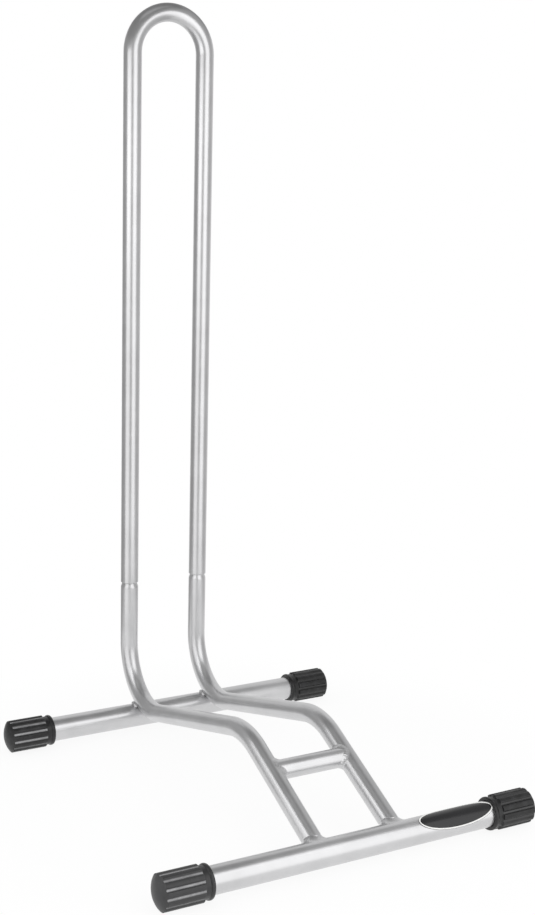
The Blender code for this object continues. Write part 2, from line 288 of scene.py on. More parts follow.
class StandCapSizes(bpy.types.PropertyGroup):
    """The ribbed rubber end cap, measured along the bar from the cap's mouth."""

    ribs: IntProperty(name="Ribs", description="Ribs round one cap", default=12, min=3)
    rib_top: length("Rib top", "Width of a rib's flat top", 0.0058)
    crown: length("Crown", "Radius of the slight crown of a rib's top", 0.008)
    groove_depth: length("Groove depth", "From a rib's top to the bottom of a groove", 0.0018)
    neck: length("Neck", "Height of the smooth neck over the bar", 0.0025)
    lip: length("Lip", "Height of the mouth's rolled lip over the bar", 0.0036)
    lip_length: length("Lip length", "Length of the rolled lip", 0.0040)
    collar_length: length("Collar length", "From the mouth to the ribs", 0.0095)
    socket_depth: length("Socket depth", "How far the bar goes in", 0.0460)
    dome_start: length("Dome start", "From the mouth to the edge of the domed end", 0.0480)
    dome_rise: length("Dome rise", "Height of the domed end", 0.0060)
    fit: length("Fit", "Clear space round the bar in its socket", 0.0003)
    edge: length("Edge", "Rounding of the moulded edges", 0.0004)


class StandWeldSizes(bpy.types.PropertyGroup):
    """Legs, toes and ripples of the weld beads."""

    front_leg: length("Front leg", "Leg of the bead between a frame tube and the front bar", 0.0052)
    rung_leg: length("Rung leg", "Leg of the bead between the rung and a frame tube", 0.0034)
    front_toe: angle("Front toe", "Angle at which the front bead leaves the metal beside it", 8)
    rung_toe: angle("Rung toe", "Angle at which the rung's bead leaves the metal beside it", 30)
    toe_change: angle("Toe change", "How far those angles change round a joint", 14)
    ripple_pitch: length("Ripple pitch", "Distance from one ripple to the next", 0.0019)
    ripple_height: length("Ripple height", "Height of a ripple on the rung and the rear bar", 0.00022)
    front_ripple: length("Front ripple", "Height of a ripple on the front bar", 0.00006)
    rear_bead: length("Rear bead", "Radius of the short beads on the rear bar", 0.0025)
    rear_stand_off: length("Rear stand-off", "Bead centre line over the bar", 0.0009)
    rear_back: angle("Rear bead back", "Where it starts, behind the line of touch", -34)
    rear_front: angle("Rear bead front", "Where it ends, before the line of touch", 9)


class StandBadgeSizes(bpy.types.PropertyGroup):
    """The oval badge on the front bar. It is bare inside its border."""

    middle: length("Middle", "From the stand's middle to the badge's middle", 0.1085)
    lean: angle("Lean", "How far round the bar its middle lies from the front", 61)
    half_length: length("Half length", "Half its length along the bar", 0.0444)
    half_height: length("Half height", "Half its height round the bar", 0.0137)
    border: length("Border", "Width of the dark edge line and the pale border inside it", 0.0017)
    thickness: length("Thickness", "Thickness of the badge", 0.0005)


class StandColours(bpy.types.PropertyGroup):
    """Colours of the finishes."""

    paint: colour("Paint", "Silver powder coat", "#d0d0d1")
    steel: colour("Steel", "Bare drawn steel in the bores", "#8d8c89")
    rubber: colour("Rubber", "Moulded rubber of the end caps", "#2b2b2d")
    # Colour of the painted highlight in the caps' grooves and of the painted sheen film
    painted_highlight: colour("Talc", "Talc from the mould in the grooves of the end caps", "#bcbcbe")
    badge: colour("Badge", "Badge face", "#1b1b1d")
    border: colour("Badge border", "Badge border", "#f2f2f0")
    floor: colour("Floor", "Studio floor", "#fdfdfd")


class StandStudio(bpy.types.PropertyGroup):
    """Camera and light of the studio."""

    place: FloatVectorProperty(
        name="Place",
        description="Camera's place",
        default=(-0.75209, -1.33029, 0.66544),
        subtype="TRANSLATION",
    )
    yaw: angle("Yaw", "Camera's turn to the right of +Y", 29.961)
    pitch: angle("Pitch", "Camera's rise above level", -11.463)
    roll: angle("Roll", "Camera's roll", 1.387)
    lens: FloatProperty(
        name="Lens", description="Focal length", default=59.7365, subtype="DISTANCE_CAMERA"
    )


class Line(NamedTuple):
    """A bent centre line in one plane, as straight and curved stretches. Each has its first
    point, its heading there, its distance along the line and its curvature."""

    points: np.ndarray
    headings: np.ndarray
    marks: np.ndarray
    curvatures: np.ndarray
    length: float


def bent_line(corners, radii=()):
    """The line through the corners, with an arc at each inner corner that touches both runs.
    A bend of radius r that turns by t uses up r tan(t / 2) of the run on either side."""
    corners, radii = np.array(corners, float), np.array(radii, float)
    runs = np.diff(corners, axis=0)
    spans = np.linalg.norm(runs, axis=1)
    units = runs / spans[:, None]
    headings = np.arctan2(runs[:, 1], runs[:, 0])
    turns = np.diff(headings)
    trims = radii * np.tan(np.abs(turns) / 2)
    before, after = np.append(0, trims), np.append(trims, 0)
    count = len(spans) + len(radii)
    points = np.empty((count, 2))
    points[0::2] = corners[:-1] + units * before[:, None]
    points[1::2] = corners[1:-1] - units[:-1] * trims[:, None]
    angles, bends, lengths = np.zeros(count), np.zeros(count), np.zeros(count)
    angles[0::2], angles[1::2] = headings, headings[:-1]
    bends[1::2] = np.sign(turns) / radii
    lengths[0::2], lengths[1::2] = spans - before - after, radii * np.abs(turns)
    marks = np.append(0, np.cumsum(lengths))
    return Line(points, angles, marks[:-1], bends, marks[-1])


def locate(line, along):
    """Point and heading at distances along a line. From a stretch's first point to a distance d
    on it runs a chord of d sinc(k d / 2), turned k d / 2 from the heading, k the curvature."""
    stretch = np.searchsorted(line.marks, along, side="right") - 1
    stretch = np.clip(stretch, 0, len(line.marks) - 1)
    past = along - line.marks[stretch]
    half = line.curvatures[stretch] * past / 2
    chord = past * np.sinc(half / np.pi)
    course = line.headings[stretch] + half
    step = np.stack([np.cos(course), np.sin(course)], axis=-1)
    return line.points[stretch] + chord[..., None] * step, line.headings[stretch] + 2 * half


def stations(line, stop):
    """Distances along a line, close together in its bends, up to stop."""
    ends = np.append(line.marks[1:], line.length)
    found = []
    for near, far, bend in zip(line.marks, ends, line.curvatures):
        if far - near > SHORTEST_STRETCH:
            per_metre = max(abs(bend) / BEND_STEP, 1 / STRAIGHT_SPACING)
            found.append(np.linspace(near, far, math.ceil((far - near) * per_metre) + 1))
    every = np.unique(np.concatenate(found).round(9))
    return every[every < stop - STATION_GAP]


def even_turns(columns):
    """Equal turns round a whole circle, without the last, which is the first again."""
    return np.linspace(0, FULL_TURN, columns, endpoint=False)


def lip(end, facing, outside, inside, edge):
    """Distance and radius round a tube's cut end: a quarter turn over the outer edge, the flat
    face and a smaller quarter turn into the bore."""
    turns = np.linspace(0, math.pi / 2, LIP_STEPS)
    over = [end - facing * edge * (1 - np.sin(turns)), outside - edge * (1 - np.cos(turns))]
    into = [end - facing * edge / 2 * (1 - np.sin(turns)), inside + edge / 2 * (1 - np.cos(turns))]
    held = end - facing * 2 * edge
    first, last = [[held], [outside]], [[held], [inside]]
    return np.concatenate([first, over, np.array(into)[:, ::-1], last], axis=1)


def rings(centres, radius, turns, first, second):
    """Points of rings round centres: centre + r cos(turn) first + r sin(turn) second."""
    swing, lift = (radius * np.cos(turns))[..., None], (radius * np.sin(turns))[..., None]
    return centres + swing * first + lift * second


def tube_grid(line, along, radius, turns, origin, plane):
    """Circles carried along a line. The line lies in the plane of the first two unit vectors of
    plane and the third is square to it: point + r cos(turn) third + r sin(turn) normal."""
    first, second, third = plane
    point, heading = locate(line, along)
    swing, lift = radius * np.cos(turns), radius * np.sin(turns)
    return (
        origin
        + (point[..., 0] - lift * np.sin(heading))[..., None] * first
        + (point[..., 1] + lift * np.cos(heading))[..., None] * second
        + swing[..., None] * third
    )


def grid_faces(rows, columns, wrap_rows):
    """Quads of a grid numbered row by row, whose last column joins its first."""
    i, j = np.meshgrid(
        np.arange(rows if wrap_rows else rows - 1), np.arange(columns), indexing="ij"
    )
    near, far = i * columns, (i + 1) % rows * columns
    beside = (j + 1) % columns
    return np.stack([near + j, near + beside, far + beside, far + j], axis=-1).reshape(-1, 4)


def fan_faces(ring, pole):
    """Triangles from a ring of point numbers to a pole."""
    return np.stack([ring, np.roll(ring, -1), np.full(len(ring), pole)], axis=-1)


def mesh_from(name, points, quads, triangles):
    """A smooth mesh from arrays. Its faces are turned over if they enclose a negative volume."""
    corners = np.concatenate([quads[:, [0, 1, 2]], quads[:, [0, 2, 3]], triangles])
    if np.linalg.det(points[corners]).sum() < 0:
        quads, triangles = quads[:, ::-1], triangles[:, ::-1]
    sizes = np.append(np.full(len(quads), 4), np.full(len(triangles), 3))
    loops = np.append(quads.ravel(), triangles.ravel())
    mesh = bpy.data.meshes.new(name)
    mesh.vertices.add(len(points))
    mesh.vertices.foreach_set("co", points.astype(np.float32).ravel())
    mesh.loops.add(len(loops))
    mesh.loops.foreach_set("vertex_index", loops.astype(np.int32))
    mesh.polygons.add(len(sizes))
    mesh.polygons.foreach_set("loop_start", (np.cumsum(sizes) - sizes).astype(np.int32))
    mesh.polygons.foreach_set("use_smooth", np.ones(len(sizes), bool))
    mesh.update(calc_edges=True)
    return mesh


def skin(name, grid, materials, body, replaces=(), zones=None, poles=None, wear=None):
    """Makes a piece from a grid of points whose columns close round. Its rows close too, unless
    poles gives the two points that close its ends. zones gives each row's material, and wear
    the attributes that the material reads, each by name with a value for each grid point."""
    rows, columns = grid.shape[:2]
    if not np.isfinite(grid).all():
        raise ValueError(f"{name}: its sizes don't give a surface")
    points = grid.reshape(-1, 3)
    quads = grid_faces(rows, columns, wrap_rows=poles is None)
    triangles = np.empty((0, 3), int)
    slots = np.repeat(np.zeros(rows, int) if zones is None else zones, columns)[: len(quads)]
    if poles is not None:
        first, last = np.arange(columns), np.arange(columns) + (rows - 1) * columns
        near = fan_faces(first[::-1], len(points))
        far = fan_faces(last, len(points) + 1)
        triangles = np.concatenate([near, far])
        points = np.concatenate([points, np.array(poles, float)])
        ends = np.zeros(2, int) if zones is None else np.array([zones[0], zones[-1]])
        slots = np.append(slots, np.repeat(ends, columns))
    mesh = mesh_from(name, points, quads, triangles)
    mesh.polygons.foreach_set("material_index", slots.astype(np.int32))
    for material in materials:
        mesh.materials.append(material)
    for label, amounts in (wear or {}).items():
        values = np.append(amounts.ravel(), np.zeros(len(points) - amounts.size))
        layer = mesh.attributes.new(label, "FLOAT", "POINT")
        layer.data.foreach_set("value", values.astype(np.float32))
    piece = bpy.data.objects.new(name, mesh)
    bpy.context.scene.collection.objects.link(piece)
    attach(piece, body)
    if replaces:
        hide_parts(*replaces)


def smooth_step(values, start, end):
    """0 up to start, 1 from end on, and 3 s^2 - 2 s^3 of the share s of the way between."""
    share = np.clip((values - start) / (end - start), 0, 1)
    return share * share * (3 - 2 * share)


def frame_line(sizes):
    """Centre line of a frame tube in the side plane, from the front bar's axis to the spigot's
    tip. The rear bend rests on the rear bar, one bend, tube, gap and bar radius from its axis."""
    front, rear = FRONT_BAR[1:], REAR_BAR[1:]
    hump = front + sizes.hump_setback * np.array([1, math.tan(SLOPE)])
    reach = sizes.rear_bend + TUBE_RADIUS + sizes.bar_gap + BAR_RADIUS
    centre_y = UPRIGHT_Y - sizes.rear_bend
    centre = np.array([centre_y, rear[1] + math.sqrt(reach**2 - (rear[0] - centre_y) ** 2)])
    across = centre - hump
    distance = np.linalg.norm(across)
    fall = math.atan2(across[1], across[0]) - math.asin(sizes.rear_bend / distance)
    foot = np.array([UPRIGHT_Y, hump[1] + (UPRIGHT_Y - hump[0]) * math.tan(fall)])
    tip = np.array([UPRIGHT_Y, SPIGOT_TIP])
    return bent_line([front, hump, foot, tip], [sizes.hump_bend, sizes.rear_bend]), centre


def build_frame_tubes(sizes, finishes):
    """Frame tubes: coped on the front bar, bent over the hump and up from the rear bar, then
    narrowed by a smooth step to a waist under the hoop's foot, whose edge is rounded over to
    the spigot. At the cope the distance along the tube is sqrt(R^2 - (r sin(turn))^2), which
    fades out to none at the first bend."""
    line, _ = frame_line(sizes)
    shoulder_foot = line.length - (SPIGOT_TIP - HOOP_FOOT + sizes.bar_gap + sizes.swage_rise)
    spigot = TUBE_RADIUS - sizes.tube_wall - sizes.spigot_clearance
    turns = even_turns(TUBE_COLUMNS)

    def outside(along):
        share = np.clip((along - shoulder_foot) / sizes.swage_rise, 0, 1)
        waist = TUBE_RADIUS - sizes.waist * smooth_step(share, 0, 1)
        over = np.clip(1 + (share - 1) / SHOULDER_ROUND, 0, 1)
        return spigot + (waist - spigot) * np.sqrt(1 - over**2)

    rise = np.sin(np.linspace(0, math.pi / 2, SHOULDER_ROWS))
    shoulder = shoulder_foot + sizes.swage_rise * rise
    below = stations(line, shoulder_foot)
    nearer = shoulder_foot - np.array(SHOULDER_APPROACH)
    above = np.arange(shoulder[-1] + MILLIMETRE, line.length - MILLIMETRE, STRAIGHT_SPACING / 2)
    along = np.concatenate([below, nearer, shoulder, above])
    end = lip(line.length, 1, spigot, spigot - sizes.tube_wall, sizes.edge_break)
    both = np.concatenate([along, end[0], along[::-1]])
    radius = np.concatenate([outside(along), end[1], outside(along[::-1]) - sizes.tube_wall])
    zones = np.where(both > shoulder[-1], 1, 0)
    zones[len(along) + LIP_STEPS :] = 2
    fade = np.clip(1 - both / line.marks[1], 0, 1)
    cope = np.sqrt(BAR_RADIUS**2 - (radius[:, None] * np.sin(turns)) ** 2)
    distance = both[:, None] + fade[:, None] * cope
    materials = [finishes["paint"], finishes["spigot"], finishes["steel"]]
    for side_name, side in SIDES:
        name = side_name + "_frame_tube"
        origin = (MIDDLE_X + side * LEG_X) * X_UNIT
        grid = tube_grid(line, distance, radius[:, None], turns, origin, (Y_UNIT, Z_UNIT, X_UNIT))
        skin("painted_" + name, grid, materials, "base", [name], zones)


def cut_tube(name, node, body, line, along, radius, wall, edge, columns, origin, finishes):
    """Makes a tube on a line in a plane that faces the front, with both cut ends rounded. Its
    rows run out along the outside, over the far end, back through the bore and over the near
    end."""
    bore = radius - wall
    far = lip(line.length, 1, radius, bore, edge)
    near = lip(0, -1, radius, bore, edge)[:, ::-1]
    distance = np.concatenate([along, far[0], along[::-1], near[0]])
    walls = np.full_like(along, radius), np.full_like(along, bore)
    radii = np.concatenate([walls[0], far[1], walls[1], near[1]])
    zones = np.zeros(len(distance), int)
    zones[len(along) + LIP_STEPS + 1 : -LIP_STEPS - 1] = 1
    turns = even_turns(columns)
    plane = (X_UNIT, Z_UNIT, Y_UNIT)
    grid = tube_grid(line, distance[:, None] + 0 * turns, radii[:, None], turns, origin, plane)
    materials = [finishes["paint"], finishes["steel"]]
    skin(name, grid, materials, body, [node], zones)


def build_hoop(sizes, finishes):
    """The hoop: an inverted U of tube whose top is half a circle between the legs."""
    corners = [(-LEG_X, HOOP_FOOT), (-LEG_X, HOOP_CROWN), (LEG_X, HOOP_CROWN), (LEG_X, HOOP_FOOT)]
    line = bent_line(corners, [LEG_X, LEG_X])
    along = stations(line, line.length)
    margin = 4 * sizes.edge_break
    along = along[(along > margin) & (along < line.length - margin)]
    origin = MIDDLE_X * X_UNIT + UPRIGHT_Y * Y_UNIT
    cut_tube(
        "painted_hoop", "upper_hoop", "hoop", line, along, TUBE_RADIUS, sizes.tube_wall,
        sizes.edge_break, TUBE_COLUMNS, origin, finishes,
    )


def build_bars(sizes, finishes):
    """Foot bars: straight tube along X with both cut ends rounded, inside the caps."""
    for row_name, bar, half in ROWS:
        line = bent_line([(-half, 0), (half, 0)])
        along = stations(line, line.length)[1:-1]
        name = row_name + "_bar"
        cut_tube(
            "painted_" + name, name, "base", line, along, BAR_RADIUS, sizes.bar_wall,
            sizes.edge_break, BAR_COLUMNS, bar, finishes,
        )


def build_rung(sizes, finishes):
    """The rung: a straight tube coped at both ends on the frame tubes, so that at each turn it
    runs to LEG_X - sqrt((R + gap)^2 - (r sin(turn))^2) on either side. Its rows lie close
    together near the ends."""
    turns = even_turns(TUBE_COLUMNS)
    normal = np.cross(SLOPE_UNIT, X_UNIT)
    bore = TUBE_RADIUS - sizes.tube_wall
    crowded = RUNG_END * (1 - np.cos(np.linspace(0, math.pi / 2, RUNG_END_ROWS))[::-1])
    even = np.linspace(RUNG_END - 1, 1 - RUNG_END, RUNG_ROWS)[1:-1]
    share = np.unique(np.concatenate([crowded - 1, even, 1 - crowded]))
    both = np.append(share, share[::-1])[:, None]
    radius = np.append(np.full_like(share, TUBE_RADIUS), np.full_like(share, bore))[:, None]
    through = TUBE_RADIUS + sizes.bar_gap
    reach = LEG_X - np.sqrt(through**2 - (radius * np.sin(turns)) ** 2)
    grid = rings(RUNG + (both * reach)[..., None] * X_UNIT, radius, turns, SLOPE_UNIT, normal)
    zones = np.append(np.zeros_like(share, int), np.ones_like(share, int))
    materials = [finishes["paint"], finishes["steel"]]
    skin("painted_wheel_rung", grid, materials, "base", ["wheel_rung"], zones)


def unit(vectors):
    """Vectors made one long."""
    return vectors / np.linalg.norm(vectors, axis=-1, keepdims=True)


def onto(points, axis, radius):
    """Points moved square to an axis through the origin until they are one radius from it."""
    along = (points @ axis)[..., None] * axis
    return along + radius * unit(points - along)


class Bead(NamedTuple):
    """Leg, toe angle and ripple height of a bead, and the turn at which its toes are softest."""

    leg: float
    toe: float
    ripple: float
    soft_turn: float


def saddle_weld(name, origin, stub, through, through_radius, bead, sizes, welds, finishes):
    """A bead round a T joint. At each turn its section is a cubic curve from a toe on the stub
    to a toe on the through piece, leaving each at the toe angle; the toes lie one leg from the
    joint line, where the cylinders cross. Ripples are bowed across the bead like fish scales:
    their height follows |cos| of the way round, shifted by the square of the way off the middle."""
    stub_radius, soft_turn = TUBE_RADIUS, bead.soft_turn
    turns = even_turns(WELD_ROWS)
    normal = np.cross(stub, through)
    crossing = through_radius + sizes.bar_gap
    radial = np.cos(turns)[:, None] * through + np.sin(turns)[:, None] * normal
    rise = np.sqrt(crossing**2 - (stub_radius * np.sin(turns)) ** 2)
    joint = rise[:, None] * stub + stub_radius * radial
    facing = unit(joint - (joint @ through)[:, None] * through)
    run = unit(np.roll(joint, -1, axis=0) - np.roll(joint, 1, axis=0))
    up, down = np.cross(run, radial), np.cross(run, facing)
    up *= np.sign(up @ stub)[:, None]
    down *= np.sign((down * radial).sum(axis=1))[:, None]
    long_wave = LONG_WANDER * np.sin(2 * turns + soft_turn)
    wander = 1 + long_wave + SHORT_WANDER * np.sin(5 * turns + 2 * soft_turn)
    open_angle = np.arccos(np.clip((radial * facing).sum(axis=1), -1, 1))
    opened = np.sin(open_angle)
    legs = (bead.leg * wander * (FLAT_LEG + (1 - FLAT_LEG) * opened))[:, None]
    toe = (bead.toe - welds.toe_change * np.cos(turns - soft_turn))[:, None]
    toe = toe * (FLAT_TOE + (1 - FLAT_TOE) * opened)[:, None]
    on_stub = onto(joint + legs * up, stub, stub_radius)
    on_through = onto(joint + legs * down, through, through_radius)
    lifted = on_stub + legs / 2 * (radial * np.sin(toe) - up * np.cos(toe))
    lowered = on_through + legs / 2 * (facing * np.sin(toe) - down * np.cos(toe))
    way = np.linspace(0, 1, WELD_COLUMNS)[None, :, None]
    face = (
        (1 - way) ** 3 * on_stub[:, None]
        + 3 * (1 - way) ** 2 * way * lifted[:, None]
        + 3 * (1 - way) * way**2 * lowered[:, None]
        + way**3 * on_through[:, None]
    )
    count = round(FULL_TURN * stub_radius / welds.ripple_pitch)
    across_bead = way[..., 0]
    bow = RIPPLE_BOW * (2 * across_bead - 1) ** 2
    ripple = np.abs(np.cos((count * turns[:, None] + bow) / 2)) - RIPPLE_LEVEL
    swell = bead.ripple * ripple * (4 * across_bead * (1 - across_bead)) ** RIPPLE_FADE
    outward = unit(radial + facing)
    face = face + swell[..., None] * outward[:, None]
    first = on_stub + BEAD_SINK * (up - radial)
    last = on_through + BEAD_SINK * (down - facing)
    inner = joint - 2 * BEAD_SINK * outward
    grid = np.concatenate([first[:, None], face, last[:, None], inner[:, None]], axis=1) + origin
    skin("painted_" + name, grid, [finishes["weld"]], "base", [name])


def build_joint_welds(sizes, welds, finishes):
    """Beads where the frame tubes stand on the front bar and where the rung meets them."""
    for side_name, side in SIDES:
        leg = side * LEG_X * X_UNIT
        front = leg + [MIDDLE_X, *FRONT_BAR[1:]]
        front_turn, rung_turn = SOFT_TURNS[side_name]
        bead = Bead(welds.front_leg, welds.front_toe, welds.front_ripple, front_turn)
        saddle_weld(
            side_name + "_front_weld", front, SLOPE_UNIT, X_UNIT, BAR_RADIUS,
            bead, sizes, welds, finishes,
        )
        bead = Bead(welds.rung_leg, welds.rung_toe, welds.ripple_height, rung_turn)
        saddle_weld(
            side_name + "_rung_weld", RUNG + leg, -side * X_UNIT, SLOPE_UNIT, TUBE_RADIUS,
            bead, sizes, welds, finishes,
        )


def build_rear_welds(sizes, welds, finishes):
    """Short beads in the valleys between the rear bar and the tubes that lie over it. Circles
    are carried round the bar; their radius follows a superellipse, so that the ends are blunt,
    and it swells with each ripple. Poles half a row past the ends close them."""
    _, centre = frame_line(sizes)
    touch = math.atan2(centre[1] - REAR_BAR[2], centre[0] - REAR_BAR[1])
    way = np.sin(np.linspace(-math.pi / 2, math.pi / 2, REAR_WELD_ROWS))[1:-1]
    middle = (welds.rear_back + welds.rear_front) / 2
    half = (welds.rear_front - welds.rear_back) / 2
    course = touch + middle + half * way
    path_radius = BAR_RADIUS + welds.rear_stand_off + sizes.bar_gap
    outward = np.stack([np.zeros_like(course), np.cos(course), np.sin(course)], axis=1)
    run = path_radius * half * way
    ripple = np.abs(np.cos(run * math.pi / welds.ripple_pitch)) - RIPPLE_LEVEL
    blunt = (1 - np.abs(way) ** BLUNT_ALONG) ** (1 / BLUNT_ACROSS)
    radius = welds.rear_bead * blunt + welds.ripple_height * ripple * (1 - way**2)
    clearance = TUBE_RADIUS - welds.rear_bead - welds.rear_stand_off
    offset = math.sqrt(TUBE_RADIUS**2 - clearance**2)
    turns = even_turns(REAR_WELD_COLUMNS)
    bar = np.array([MIDDLE_X, *REAR_BAR[1:]])
    materials = [finishes["weld"]]
    for side_name, side in SIDES:
        for place, facing in (("outer", side), ("inner", -side)):
            name = f"{side_name}_rear_{place}_weld"
            line = bar + (side * LEG_X + facing * offset) * X_UNIT + path_radius * outward
            aside = X_UNIT * facing
            grid = rings(line[:, None], radius[:, None], turns, aside, outward[:, None])
            poles = [line[0] + (line[0] - line[1]) / 2, line[-1] + (line[-1] - line[-2]) / 2]
            skin("painted_" + name, grid, materials, "base", [name], poles=poles)


def rib_turns(caps):
    """Turns round a cap, close together across its grooves."""
    pitch = FULL_TURN / caps.ribs
    groove_start = (caps.rib_top / 2 - caps.edge) / CAP_RADIUS
    top = np.linspace(-groove_start, groove_start, RIB_TOP_COLUMNS)
    groove = np.linspace(groove_start, pitch - groove_start, GROOVE_COLUMNS)[1:-1]
    one = np.concatenate([top, groove])
    return (one + pitch * np.arange(caps.ribs)[:, None]).ravel()


def rib_profile(caps, turns):
    """Radius at each turn round the ribs, then the way into a groove, then the share of its depth.
    A rib's radius is a flat top's, R / cos(turn), less a parabola for the crown, and the share is
    1 - (1 - way into the groove)^2.2, so that the grooves are hollow."""
    pitch = FULL_TURN / caps.ribs
    from_rib = np.abs((turns + pitch / 2) % pitch - pitch / 2)
    width = CAP_RADIUS * from_rib
    aside = np.minimum(width, caps.rib_top / 2)
    flat = CAP_RADIUS / np.cos(aside / CAP_RADIUS) - aside**2 / (2 * caps.crown)
    start = caps.rib_top / 2 - caps.edge
    into = np.clip((width - start) / (CAP_RADIUS * pitch / 2 - start), 0, 1)
    groove = 1 - (1 - into) ** GROOVE_POWER
    return flat + (CAP_RADIUS - caps.groove_depth - flat) * groove, into, groove


def plain_profile(caps, neck_end):
    """Distance and radius of a cap's round part: from the bottom of its socket to its mouth, half
    a turn over the rolled lip and along the neck."""
    socket = BAR_RADIUS + caps.fit
    bottom = caps.socket_depth + caps.fit
    flare_x, flare = np.transpose(SOCKET_FLARE)
    wall_x = np.linspace(bottom - SOCKET_CORNER, flare_x[0], SOCKET_ROWS)
    corner = [socket / 2, socket - SOCKET_CORNER]
    lip_turns = np.linspace(0, math.pi, CAP_LIP_ROWS)
    lip_x = caps.lip_length / 2 * (1 - np.cos(lip_turns))
    lip_radius = BAR_RADIUS + caps.neck + (caps.lip - caps.neck) * np.sin(lip_turns)
    neck_x = np.linspace(caps.lip_length, neck_end, NECK_ROWS)[1:-1]
    neck_radius = np.full_like(neck_x, BAR_RADIUS + caps.neck)
    x = [[bottom, bottom], wall_x, flare_x[1:], lip_x, neck_x]
    radius = [corner, np.full_like(wall_x, socket), socket + flare[1:], lip_radius, neck_radius]
    return np.concatenate(x), np.concatenate(radius)


def build_end_caps(caps, finishes):
    """End caps: a round part, ribs, and an end that is part of a sphere, which limits the ribs by
    a smooth minimum. One attribute is 1 on the ribs' tops, which are worn, and 0 in the grooves,
    whose darkness is painted shade. Another is a pale painted highlight that rises into each
    groove, in an amount that changes from groove to groove, and is nowhere less than a film of
    painted sheen on the rubbed parts."""
    turns = rib_turns(caps)
    ribbed, into, groove = rib_profile(caps, turns)
    sphere = (CAP_RADIUS**2 + caps.dome_rise**2) / (2 * caps.dome_rise)
    tip = caps.dome_start + caps.dome_rise
    sphere_x = tip - sphere
    rim = math.asin(CAP_RADIUS / sphere)
    edge_slopes = np.linspace(rim + RIM_OUTSIDE, rim - RIM_INSIDE, RIM_ROWS)
    slopes = np.concatenate([edge_slopes, np.linspace(rim - RIM_INSIDE, 0, DOME_ROWS)[1:-1]])
    dome_x = sphere_x + sphere * np.cos(slopes)
    rib_start = caps.collar_length + caps.edge * np.linspace(-1, 1, RIB_START_ROWS)
    ribs_x = np.linspace(rib_start[-1], dome_x[0], RIB_ROWS)[1:-1]
    outer_x = np.concatenate([rib_start, ribs_x, dome_x])
    onset = smooth_step(outer_x, rib_start[0], rib_start[-1])[:, None]
    neck_radius = BAR_RADIUS + caps.neck
    body = neck_radius + (ribbed - neck_radius) * onset
    limit = np.sqrt(np.maximum(sphere**2 - (outer_x - sphere_x) ** 2, 0))[:, None]
    outer = (body + limit - np.sqrt((body - limit) ** 2 + caps.edge**2 / 4)) / 2
    past_edge = outer_x[:, None] > caps.dome_start + caps.edge
    outer = np.where(past_edge, np.minimum(outer, limit), outer)

    plain_x, plain_radius = plain_profile(caps, rib_start[0])
    x = np.concatenate([plain_x, outer_x])
    radius = np.concatenate([plain_radius[:, None] + 0 * turns, np.maximum(outer, 0)])
    on_dome = smooth_step(outer_x, caps.dome_start, caps.dome_start + 2 * caps.edge)[:, None]
    # Worn rib tops are 1 and grooves 0; the grooves' darkness in the material is painted shade
    land = (1 - groove) * onset + COLLAR_RUB * (1 - onset)
    plain = np.ones((len(plain_x), len(turns)))
    wear_and_groove_shade = np.concatenate([COLLAR_RUB * plain, land + (DOME_RUB - land) * on_dome])
    number = np.floor(turns * caps.ribs / FULL_TURN)
    uneven = 1 - HIGHLIGHT_CHANGE + HIGHLIGHT_CHANGE * np.sin(HIGHLIGHT_CHANGE_TURN * number)
    # Painted highlight along the bottom of each groove, changing from groove to groove
    groove_highlight = smooth_step(into, HIGHLIGHT_START, HIGHLIGHT_FULL) * uneven * onset * (1 - on_dome)
    painted_highlight = np.concatenate([0 * plain, groove_highlight])
    for row_name, bar, half in ROWS:
        for side_name, side in SIDES:
            name = f"{row_name}_{side_name}_end_cap"
            # Turn on the bar, share of the painted highlight, and film of painted sheen for this cap
            pressed_turn, highlight_share, sheen_film = CAP_STATES[f"{row_name}_{side_name}"]
            origin = bar + side * (half - caps.socket_depth) * X_UNIT
            centres = origin + side * x[:, None, None] * X_UNIT
            grid = rings(centres, radius, turns + math.radians(pressed_turn), Z_UNIT, Y_UNIT)
            poles = [origin + side * plain_x[0] * X_UNIT, origin + side * tip * X_UNIT]
            # Painted highlight in the grooves, nowhere less than the film of painted sheen on the
            # rubbed parts
            wear = {"wear_and_groove_shade": wear_and_groove_shade, "painted_highlight": np.maximum(painted_highlight * highlight_share, sheen_film * wear_and_groove_shade)}
            skin(
                "rubber_" + name, grid, [finishes["rubber"]], "base", [name],
                poles=poles, wear=wear,
            )


